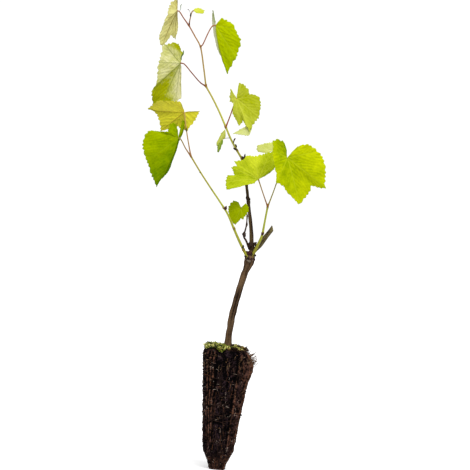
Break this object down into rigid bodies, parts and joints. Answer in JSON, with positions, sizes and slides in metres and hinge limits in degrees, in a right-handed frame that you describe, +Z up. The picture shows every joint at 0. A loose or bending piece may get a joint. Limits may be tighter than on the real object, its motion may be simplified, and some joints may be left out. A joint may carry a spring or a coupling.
{
  "type": "young grapevine on a bare root plug",
  "caption": "Young grapevine raised in a cell tray: leaning woody stem, thin shoots and lobed leaves above a tapered, ribbed root plug that stands on its flat foot.",
  "frame": {"origin": "middle of the flat foot of the root plug", "axes": "+Z up along the plug and the plant; +X towards the side that the bare stem leans to; the long shoot arches over towards -X; +Y away from the side that shows the upper faces of most leaves"},
  "size_m": [0.2259, 0.0872, 0.5687],
  "materials": {
    "root_plug": "moist peat matted with roots, rough",
    "bark": "grey-brown bark with lengthwise strips, rough",
    "green_cane": "smooth green shoot skin, satin",
    "leaf_stalk": "smooth leaf stalk, green to reddish, satin",
    "leaf": "soft leaf blade, satin above and matt below"
  },
  "bodies": {
    "root": {"root_ball": "root_plug", "trunk": "bark", "cane_stub": "bark", "old_cane": "bark", "side_twig": "bark", "left_shoot": "green_cane", "right_shoot": "green_cane", "long_shoot_lower": "green_cane", "long_shoot_upper": "green_cane", "stalk_broad": "leaf_stalk", "stalk_cupped": "leaf_stalk", "stalk_middle": "leaf_stalk", "stalk_upper_left": "leaf_stalk", "stalk_upper_right": "leaf_stalk", "stalk_top": "leaf_stalk", "stalk_sprout": "leaf_stalk", "stalk_lower_left": "leaf_stalk", "stalk_folded": "leaf_stalk", "stalk_heart": "leaf_stalk", "leaf_broad": "leaf", "leaf_cupped": "leaf", "leaf_middle": "leaf", "leaf_middle_tip": "leaf", "leaf_upper_left": "leaf", "leaf_upper_right": "leaf", "leaf_top": "leaf", "leaf_lower_left": "leaf", "leaf_folded": "leaf", "leaf_bud": "leaf", "leaf_heart": "leaf", "leaf_sprout": "leaf"}
  },
  "joints": []
}
